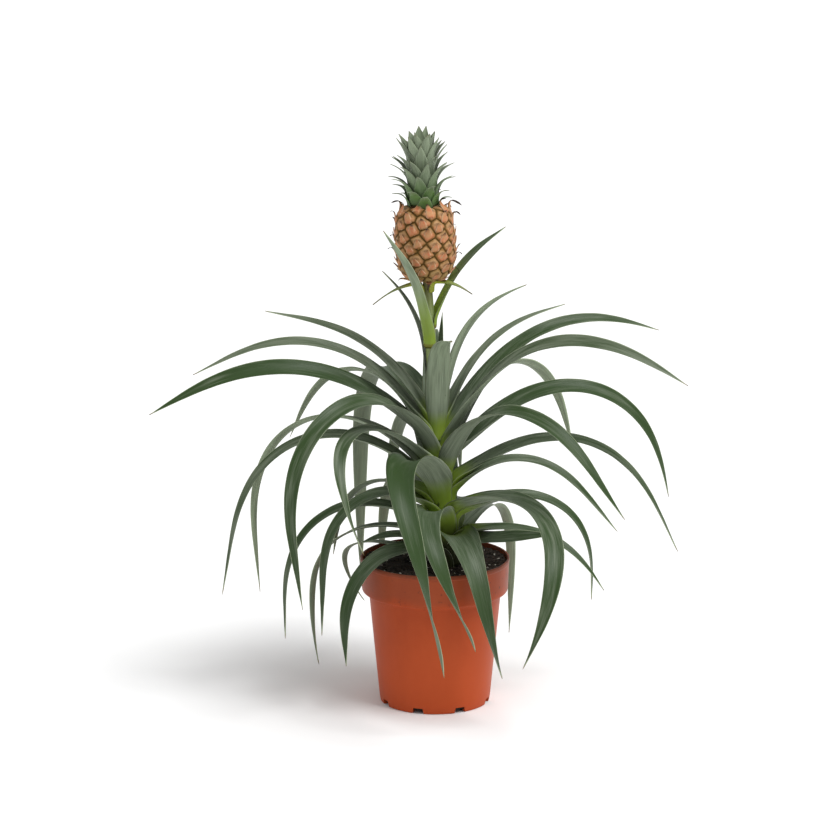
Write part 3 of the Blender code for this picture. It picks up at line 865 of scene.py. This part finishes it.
def fruit_body(settings, places, radius):
    """The skin as a fine turned mesh, raised into an eye around each place."""
    spots = np.array([place for place, _, _ in places])
    ups = np.array([up for _, _, up in places])
    profile = [fruit_profile(ring / FRUIT_RINGS, radius) for ring in range(FRUIT_RINGS + 1)]
    mesh = turned_mesh("fruit_body", profile, FRUIT_SIDES)
    points = np.array([vert.co for vert in mesh.vertices])
    normals = np.array([vert.normal for vert in mesh.vertices])
    gaps = np.linalg.norm(points[:, None] - spots[None], axis=2)
    nearest, next_nearest = np.argsort(gaps, axis=1)[:, :2].T
    rows = np.arange(len(points))
    rise = np.clip((gaps[rows, next_nearest] - gaps[rows, nearest]) / SEAM_WIDTH, 0, 1)
    high = np.einsum("ij,ij->i", points - spots[nearest], ups[nearest]) / EYE_HALF
    swell = np.sin(rise * np.pi / 2) ** 0.7 * (1 + 0.35 * np.clip(-high, -0.6, 1))
    points = points + normals * (swell * settings.relief)[:, None] * 0.9
    mesh.vertices.foreach_set("co", points.astype(np.float32).ravel())
    tones = np.random.default_rng(5).random(len(places))
    store_on_points(mesh, rise=rise, high=high, tone=tones[nearest])
    mesh.transform(fruit_matrix())
    return new_piece("fruit_body", mesh)


def eye_points(settings, places):
    """A point under every eye, with its outward and upward directions stored."""
    turn = fruit_matrix()
    mesh = bpy.data.meshes.new("eye_places")
    starts = [place + normal * settings.relief * 0.55 - up * 4.7 * MM for place, normal, up in places]
    mesh.from_pydata([turn @ start for start in starts], [], [])
    store_on_points(mesh, share=[(number + 0.5) / len(places) for number in range(len(places))],
                    outward=[turn.to_3x3() @ normal for _, normal, _ in places],
                    upward=[turn.to_3x3() @ up for _, _, up in places])
    return mesh


def bract_tree():
    """A pointed papery scale on every eye, hugging it and curling out at its tip."""
    inputs = {"Places": GEOMETRY, "Length": 0.0092, "Width": 0.0082, "Curl": 0.0032,
              "Thickness": 0.0005, "Seed": 4, "Material": MATERIAL}
    tree, given, exit_node = new_tree("eye_bracts", "GeometryNodeTree", inputs, "Bracts")
    places, length, width, curl, thickness, seed, material = given
    chance = field(tree, "FunctionNodeRandomValue", {"Seed": seed}, 1, data_type="FLOAT")
    spot = field(tree, "GeometryNodeInputPosition")
    places = stored(stored(places, chance=chance), "FLOAT_VECTOR", spot=spot)
    scales = places.through("InstanceOnPoints", Instance=two_sided_sheet(tree, *SCALE_GRID))
    scales = scales.through("RealizeInstances")
    across, along, chance, share = attributes(tree, "across", "along", "chance", "share")
    outward, upward, spot = attributes(tree, "outward", "upward", "spot", data_type="FLOAT_VECTOR")
    wisp = chance.step(0.45, 0.8) + share.step(0.76, 0.92) * 0.8
    length = length * (wisp * 0.9 + 0.85)
    point = (1.0 - along ** 1.5).math("MAXIMUM", 0.0) ** (wisp * 0.6 + 0.9)
    half = width * 0.5 * along.step(-0.25, 0.2) * point
    half = half.math("MAXIMUM", wisp * 0.0007 * along.step(1.05, 0.6) + 0.00008)
    dome = (along * 2.6).math("MINIMUM", math.pi).math("SINE") * 0.0011
    curl = curl * (along ** 2.6) * (wisp * 1.7 + 0.45)
    lift = dome + curl - ((across * half) ** 2.0) * 55.0 * along.step(1.0, 0.6)
    lift = lift + sheet_body(tree, thickness * (wisp * 0.9 + 0.5), 0.05, 0.93)
    climb = length * (along - (along ** 4.0) * wisp * 0.55)
    shift = across * half + (along ** 2.5) * (chance * 71.3).math("SINE") * (wisp * 0.0022 + 0.001)
    side = upward.vector("CROSS_PRODUCT", outward)
    target = spot.vector("ADD", side.scaled(shift)).vector("ADD", upward.scaled(climb))
    target = target.vector("ADD", outward.scaled(lift))
    return finish_tree(stored(scales, wisp=wisp), target, material, exit_node)


def scale_material(settings):
    """Papery bract: salmon at its foot, pale along its edges, dark and dry at its tip."""
    material, tree, shader = new_material("fruit_bract", 0.7, Specular_IOR_Level=0.2)
    along, across, chance, wisp = surface_attributes(tree, "along", "across", "chance", "wisp")
    patches, grain = mottled(object_coordinates(tree), 3 * MM)
    foot = mixed(patches.step(0.3, 0.7), settings.flesh, settings.paper)
    rim = across.math("ABSOLUTE").step(0.55, 1.0)
    dry = (along + (chance - 0.5) * 0.5 + (grain - 0.5) * 0.5).step(0.45, 0.95)
    final = coated(foot, (rim * 0.8, SCALE_EDGE), (dry, SCALE_DRY),
                   (along.step(0.5, 0.75) * wisp.step(0.1, 0.5), SCALE_WISP))
    finish_material(shader, final, grain, 0.3 * MM, 0.6)
    return material


def fruit_material(settings):
    """Salmon eyes with olive seams, paler and papery in the upper half of each eye."""
    material, tree, shader = new_material("fruit_skin", 0.6, Specular_IOR_Level=0.2)
    place = object_coordinates(tree)
    patches, grain = mottled(place, 3 * MM)
    rise, high, tone = surface_attributes(tree, "rise", "high", "tone")
    flesh = mixed(tone * 0.5 + patches * 0.4, settings.flesh, settings.paper)
    papery = (high + (grain - 0.5) * 0.6).step(-0.1, 0.35)
    scar = high.step(0.0, 0.25) * high.step(0.6, 0.35) * rise.step(0.5, 0.9) * grain.step(0.4, 0.6)
    # brown mottling mixed with painted shade: each eye darker towards its seams, where shade falls between
    # the eyes
    mottle_and_shade = (rise + (patches - 0.5) * 1.3).step(0.9, 0.1)
    foot = (separated(place)[2] - FRUIT_LOW.z).step(0.016, 0.003)
    seam = (rise + (grain - 0.5) * 0.35).step(0.34, 0.08)
    final = coated(flesh, (papery, settings.paper), (scar * 0.8, EYE_SCAR), (mottle_and_shade * 0.85, FRUIT_MOTTLE_AND_SHADE),
                   (foot * 0.55, FRUIT_KHAKI), (seam, settings.seam))
    finish_material(shader, final, grain, 0.4 * MM, 0.6)
    return material


class PINEAPPLE_OT_fruit(bpy.types.Operator):
    """Make the fruit: its body with raised eyes, and the bract of every eye"""
    bl_idname = "pineapple.fruit"
    bl_label = "Fruit"

    def execute(self, context):
        settings = context.scene.pineapple_fruit
        radius = (FRUIT_HIGH.y - FRUIT_LOW.y) / 2 - 0.8 * MM
        places = eye_places(settings.eyes, radius)
        body = fruit_body(settings, places, radius)
        body.data.materials.append(fruit_material(settings))
        settle(body, "fruit_skin", "fruit")
        values = {"Material": scale_material(settings)}
        scales = grown("fruit_bracts", eye_points(settings, places), bract_tree(), values)
        settle(scales, "fruit_skin")
        return {"FINISHED"}


# ---------------------------------------------------------------- crown

def crown_tree():
    """Leaves on a spiral round the crown's axis, from level and short to upright and long."""
    inputs = {"Places": GEOMETRY, "Count": 64, "Height": 0.06, "Length": 0.026, "Width": 0.0095,
              "Core radius": 0.0125, "Thickness": 0.0006, "Seed": 2, "Material": MATERIAL}
    tree, given, exit_node = new_tree("crown_leaves", "GeometryNodeTree", inputs, "Crown")
    _, blades, height, blade_length, width, core, thickness, seed, material = given
    points = field(tree, "GeometryNodePoints", {"Count": blades})
    leaves = points.through("InstanceOnPoints", Instance=two_sided_sheet(tree, *CROWN_GRID))
    number = field(tree, "GeometryNodeInputIndex")
    chance = field(tree, "FunctionNodeRandomValue", {"Seed": seed}, 1, data_type="FLOAT")
    leaves = stored(leaves, domain="INSTANCE", number=number, chance=chance).through("RealizeInstances")
    across, along, chance, number = attributes(tree, "across", "along", "chance", "number")
    level = number / (blades - 1.0)
    foot = height * (level * 0.57 - 0.02)
    start = (level.step(0.6, 1.0) * -6.0 + 86.0 + (chance - 0.5) * 6.0) * math.radians(1)
    end = ((level ** 1.1) * 86.0 - 10.0 + (chance - 0.5) * 22.0) * math.radians(1)
    reach = level.step(0.0, 0.3, 0.66, 1.0) - level.step(0.8, 1.0) * 0.2
    length = blade_length * ((chance - 0.5) * 0.25 + 1.0) * reach
    curl = along ** 2.05 / 2.05
    run, climb = (length * (start.math(wave) * along + (end.math(wave) - start.math(wave)) * curl)
                  for wave in ("COSINE", "SINE"))
    pitch = start + (end - start) * (along ** 1.3)
    shape = (1.0 - along ** level.step(0.45, 0.95, 1.15, 1.9)).math("MAXIMUM", 0.0)
    pointed = shape ** level.step(0.4, 0.9, 1.15, 0.85)
    half = (width * level.step(0.1, 0.9, 0.48, 0.66) * pointed).math("MAXIMUM", THINNEST)
    column = core * (1.0 - level * 0.5)
    shift, rise = rolled(across, half, column * along.step(0.9, 0.2) + half)
    lift = rise + sheet_body(tree, thickness * 0.5, 0.04, 0.96)
    out = column + run - pitch.math("SINE") * lift
    up = foot + climb + pitch.math("COSINE") * lift
    turn = number * math.radians(GOLDEN_ANGLE) + (chance - 0.5) * 0.12
    sine, cosine = turn.math("SINE"), turn.math("COSINE")
    target = combined(out * cosine - shift * sine, out * sine + shift * cosine, up)
    margin = (1.0 - across.math("ABSOLUTE")) * half * 1000.0
    leaves = stored(leaves, level=level, across_mm=across * half * 1000.0, margin_mm=margin)
    return finish_tree(leaves, target, material, exit_node)


def crown_material(settings):
    """Grey-green bloom over fresh green, with pale margins and browner tips."""
    material, tree, shader = new_material("crown_green", 0.55)
    along, level, chance = surface_attributes(tree, "along", "level", "chance")
    across, margin = surface_attributes(tree, "across_mm", "margin_mm")
    fine, _ = streaked(across, along * 26.0, chance * 40.0)
    bloom = (fine + (chance - 0.5) * 0.5).step(0.2, 0.8)
    final = coated(mixed(bloom, toned(settings.green, 0.45), settings.green),
                   (level.step(0.5, 0.1) * along.step(0.95, 0.2), settings.bright),
                   (along.step(0.35, 0.0) * 0.7, CROWN_DEEP), (margin.step(0.5, 0.1) * 0.55, CROWN_EDGE),
                   (along.step(0.9, 1.0) * 0.7, CROWN_DRY))
    finish_material(shader, final, fine, 0.2 * MM, 0.6)
    return material


class PINEAPPLE_OT_crown(bpy.types.Operator):
    """Make the crown of short leaves on top of the fruit"""
    bl_idname = "pineapple.crown"
    bl_label = "Crown"

    def execute(self, context):
        settings = context.scene.pineapple_crown
        empty = bpy.data.meshes.new("crown_places")
        values = {"Count": settings.blades, "Height": CROWN_HIGH.z - CROWN_LOW.z,
                  "Length": settings.blade_length, "Width": settings.blade_width,
                  "Material": crown_material(settings)}
        crown = grown("crown_leaves", empty, crown_tree(), values)
        crown.data.transform(fruit_matrix() @ Matrix.Translation((0, 0, FRUIT_HEIGHT)))
        settle(crown, "crown_green", "crown")
        return {"FINISHED"}


# ---------------------------------------------------------------- soil

def soil_tree():
    """A lumpy top surface with crumbs and perlite grains scattered on it."""
    inputs = {"Top": GEOMETRY, "Crumbs": 90000.0, "Grains": 4500.0, "Seed": 3, "Material": MATERIAL}
    tree, given, exit_node = new_tree("soil_surface", "GeometryNodeTree", inputs, "Soil")
    surface, crumbs, grains, seed, material = given
    place, normal = (field(tree, "GeometryNodeInput" + kind) for kind in ("Position", "Normal"))
    top_only, = attributes(tree, "top")
    raised = combined(0.0, 0.0, (noise(place, 160.0, 4.0, 0.6) - 0.5) * 0.006 * top_only)
    soil = surface.through("SetPosition", Offset=raised).through("SetShadeSmooth")
    parts = [stored(soil, perlite=0.0)]
    for density, size, perlite in ((crumbs, 1.2 * MM, 0.0), (grains, 1.1 * MM, 1.0)):
        links = {0: soil, "Density": density * top_only, "Seed": seed + perlite * 11}
        points = add_node(tree, "GeometryNodeDistributePointsOnFaces", links)
        lump = field(tree, "GeometryNodeMeshIcoSphere", {"Radius": size, "Subdivisions": 2})
        rough = (noise(place, 1600.0, 2.0) - 0.5) * size * 1.3
        lump = lump.through("SetPosition", Offset=normal.scaled(rough))
        links = {0: (0.35, 0.35, 0.3), 1: (1.25, 1.25, 0.9), "Seed": seed}
        spread = field(tree, "FunctionNodeRandomValue", links, data_type="FLOAT_VECTOR")
        parts.append(Field(tree, points.outputs["Points"]).through(
            "InstanceOnPoints", Instance=stored(lump, perlite=perlite),
            Rotation=Field(tree, points.outputs["Rotation"]), Scale=spread))
    return finish_tree(joined(*parts), None, material, exit_node)


def soil_material(settings):
    """Dark peat, and white grains where the perlite attribute is set."""
    material, tree, shader = new_material("potting_soil", 0.92)
    patches, grain = mottled(object_coordinates(tree), 4 * MM)
    peat = mixed(patches.step(0.35, 0.7), settings.dark, toned(settings.dark, 4.2))
    perlite, = surface_attributes(tree, "perlite")
    final = mixed(perlite, peat, mixed(patches, PERLITE_WHITE, PERLITE_GREY))
    finish_material(shader, final, grain, 0.8 * MM, 1.0)
    return material


class PINEAPPLE_OT_soil(bpy.types.Operator):
    """Make the soil's lumpy top with its crumbs and white grains"""
    bl_idname = "pineapple.soil"
    bl_label = "Soil"

    def execute(self, context):
        settings = context.scene.pineapple_soil
        radius, top, foot = SOIL_HIGH.x, SOIL_HIGH.z, SOIL_LOW.z
        profile = [(0, top - 1.0 * MM), (radius * 0.7, top - 0.5 * MM), (radius, top + 2.5 * MM),
                   (radius, POT_TOP.z - 20 * MM), (radius - 7 * MM, POT_TOP.z - 28 * MM),
                   (POT_LOW_RADIUS - 2 * MM, foot), (0, foot)]
        mesh = turned_mesh("soil_body", profile, 120, 2 * MM)
        store_on_points(mesh, top=[float(vert.co.z > top - 3 * MM) for vert in mesh.vertices])
        area = math.pi * radius ** 2
        values = {"Crumbs": settings.crumbs / area, "Grains": settings.perlite / area,
                  "Material": soil_material(settings)}
        soil = grown("soil_body", mesh, soil_tree(), values)
        settle(soil, "potting_soil", "soil")
        return {"FINISHED"}


# ---------------------------------------------------------------- pot

def rounded(profile, radius, steps=4):
    """The profile with its inner corners rounded by short arcs."""
    points = [profile[0]]
    for before, corner, after in zip(profile, profile[1:], profile[2:]):
        corner = Vector(corner)
        to_before, to_after = Vector(before) - corner, Vector(after) - corner
        cut = min(radius, to_before.length * 0.45, to_after.length * 0.45)
        start, end = (corner + way.normalized() * cut for way in (to_before, to_after))
        for i in range(steps + 1):
            t = i / steps
            points.append(tuple((1 - t) ** 2 * start + 2 * t * (1 - t) * corner + t * t * end))
    points.append(profile[-1])
    return points


def pot_material(settings):
    """Semi-matt moulded plastic with faint flow marks, dust and a few scuffs, painted shade on its rim band
    and painted light low on its wall.
    """
    material, tree, shader = new_material("pot_plastic", 0.42, Specular_IOR_Level=0.14)
    place = object_coordinates(tree)
    x, y, z = separated(place)
    patches, grain = mottled(place, 30 * MM)
    flow = noise(combined(x * 60.0, y * 60.0, z * 9.0), 1.0, 3.0)
    tint = (patches - 0.5) * 0.8 + (flow - 0.5) * 0.6 + 0.5
    plastic = mixed(tint.step(0.1, 0.9), toned(settings.plastic, 0.86), POT_LIGHT)
    dust = grain.step(0.62, 0.8) * z.step(0.03, 0.0)
    soiled = z.step(0.080, 0.108) * x.step(-0.03, 0.05, 0.55, 1.0)
    specks = noise(place, 300.0, 1.0).step(0.665, 0.72) * soiled
    # painted shade: the rim band darkened where the leaves shade it
    rim_shade = (z + (patches - 0.5) * 0.03).step(0.088, 0.1)
    stain = (z + (grain - 0.5) * 0.004).step(0.1145, 0.1185)
    # painted light: the z.step(0.085, 0.02) coat lightens the wall towards its foot
    final = coated(plastic, (dust * 0.35, POT_DUST), (specks, POT_SPECK),
                   (z.step(0.085, 0.02) * 0.7, POT_PAINTED_LIGHT), (rim_shade * 0.55, POT_RIM_SHADE),
                   (stain * 0.6, POT_STAIN))
    plug(shader.inputs["Roughness"], (patches - 0.5) * 0.16 + 0.42)
    finish_material(shader, final, flow + grain * 0.15, 0.3 * MM, 0.35)
    return material


def drain_cutter(index):
    """A notch through the foot's corner, wider at the bottom."""
    bm = bmesh.new()
    bmesh.ops.create_cube(bm, size=1)
    for vert in bm.verts:
        length, width, height = DRAIN_SIZE
        flare = 1.0 if vert.co.z < 0 else 0.72
        vert.co = Vector((vert.co.x * length, vert.co.y * width * flare, vert.co.z * height))
    turn = Matrix.Rotation(math.radians(DRAIN_FIRST + index * 360 / DRAIN_COUNT), 4, "Z")
    bm.transform(turn @ Matrix.Translation((POT_LOW_RADIUS, 0, 0)))
    return new_piece(f"drain_cutter_{index}", kept_mesh("drain_cutter", bm))


class PINEAPPLE_OT_pot(bpy.types.Operator):
    """Make the nursery pot with its rim band and drainage notches"""
    bl_idname = "pineapple.pot"
    bl_label = "Pot"

    def execute(self, context):
        settings = context.scene.pineapple_pot
        foot, waist, rim = POT_LOW_RADIUS, POT_SHOULDER_RADIUS, POT_TOP.x
        top, wall = POT_TOP.z, settings.wall
        shoulder = top - settings.rim_band
        inside = [(0, 1.8 * MM), (foot - wall, 1.8 * MM), (waist - wall, shoulder + wall),
                  (rim - RIM_TAPER - wall, shoulder + 3 * wall)]
        lip = [(rim - 1.8 * MM, top), (rim, top), (rim, top - 3.2 * MM), (rim - 0.4 * MM, top - 3.8 * MM)]
        band = [(rim - RIM_TAPER, shoulder + 1.6 * MM), (rim - RIM_TAPER - 0.5 * MM, shoulder),
                (waist + 1.0 * MM, shoulder - 0.6 * MM), (waist, shoulder - 3.0 * MM),
                (waist - 0.3 * MM, shoulder - 6.0 * MM)]
        under = [(foot + 0.7 * MM, 4.0 * MM), (foot, 0), (foot - 4 * MM, 0), (foot - 5 * MM, 0.7 * MM),
                 (0, 0.7 * MM)]
        profile = rounded(inside + lip + band + under, CORNER_RADIUS)
        pot = new_piece("pot_body", turned_mesh("pot_body", profile, 160))
        cutters = [drain_cutter(index) for index in range(DRAIN_COUNT)]
        for cutter in cutters:
            cut = pot.modifiers.new("drain", "BOOLEAN")
            cut.operation = "DIFFERENCE"
            cut.solver = "EXACT"
            cut.object = cutter
        pot.data = evaluated_mesh(pot)
        pot.modifiers.clear()
        for cutter in cutters:
            bpy.data.objects.remove(cutter)
        pot.data.set_sharp_from_angle(angle=math.radians(35))
        pot.data.materials.clear()
        pot.data.materials.append(pot_material(settings))
        settle(pot, "pot_plastic", "pot")
        return {"FINISHED"}


# ---------------------------------------------------------------- stage

class PINEAPPLE_OT_stage(bpy.types.Operator):
    """Make the pale floor, the soft studio light and the camera"""
    bl_idname = "pineapple.stage"
    bl_label = "Stage"

    def execute(self, context):
        settings = context.scene.pineapple_stage
        scene = context.scene
        bpy.ops.mesh.primitive_plane_add(size=settings.floor, location=(0, 0, -FLOOR_DROP))
        floor = context.active_object
        floor.name = "floor"
        white = {"Base_Color": FLOOR_WHITE, "Specular_IOR_Level": 0.1}
        floor.data.materials.append(new_material("floor_white", 0.9, **white)[0])
        world = bpy.data.worlds.new("studio")
        world.use_nodes = True
        backdrop = world.node_tree.nodes["Background"]
        backdrop.inputs["Color"].default_value = (1, 1, 1, 1)
        backdrop.inputs["Strength"].default_value = settings.sky
        scene.world = world
        key = bpy.data.lights.new("key", "SUN")
        key.energy = settings.key_strength
        key.angle = settings.key_softness
        light = bpy.data.objects.new("key", key)
        light.rotation_euler = Vector(KEY_DIRECTION).to_track_quat("Z", "Y").to_euler()
        scene.collection.objects.link(light)
        scene.view_settings.view_transform = "Standard"
        camera_data = bpy.data.cameras.new("camera")
        camera_data.lens = CAMERA_LENS
        camera_data.sensor_width = 36
        camera = bpy.data.objects.new("camera", camera_data)
        camera.location = CAMERA_PLACE
        aim = Vector(CAMERA_AIM) - camera.location
        camera.rotation_euler = aim.to_track_quat("-Z", "Y").to_euler()
        scene.collection.objects.link(camera)
        scene.camera = camera
        return {"FINISHED"}


# ---------------------------------------------------------------- add-on

class PINEAPPLE_PT_panel(bpy.types.Panel):
    """Sidebar panel with a button for every piece"""
    bl_idname = "PINEAPPLE_PT_panel"
    bl_label = "Potted Pineapple"
    bl_space_type = "VIEW_3D"
    bl_region_type = "UI"
    bl_category = "Pineapple"

    def draw(self, context):
        for operator in OPERATORS:
            self.layout.operator(operator.bl_idname)
        for name in SETTINGS:
            group = getattr(context.scene, name)
            box = self.layout.box()
            for label in group.bl_rna.properties.keys():
                if label not in ("rna_type", "name"):
                    box.prop(group, label)


SETTINGS = {
    "pineapple_leaf": LeafSettings,
    "pineapple_fruit": FruitSettings,
    "pineapple_crown": CrownSettings,
    "pineapple_soil": SoilSettings,
    "pineapple_pot": PotSettings,
    "pineapple_stage": StageSettings,
}
OPERATORS = (
    PINEAPPLE_OT_pot,
    PINEAPPLE_OT_soil,
    PINEAPPLE_OT_stalk,
    PINEAPPLE_OT_leaves,
    PINEAPPLE_OT_fruit,
    PINEAPPLE_OT_crown,
    PINEAPPLE_OT_stage,
)


def register():
    for name, group in SETTINGS.items():
        bpy.utils.register_class(group)
        setattr(bpy.types.Scene, name, bpy.props.PointerProperty(type=group))
    for operator in OPERATORS:
        bpy.utils.register_class(operator)
    bpy.utils.register_class(PINEAPPLE_PT_panel)


def unregister():
    bpy.utils.unregister_class(PINEAPPLE_PT_panel)
    for operator in reversed(OPERATORS):
        bpy.utils.unregister_class(operator)
    for name, group in SETTINGS.items():
        delattr(bpy.types.Scene, name)
        bpy.utils.unregister_class(group)


def main():
    register()
    for operator in OPERATORS:
        group, name = operator.bl_idname.split(".")
        getattr(getattr(bpy.ops, group), name)()


if __name__ == "__main__":
    main()
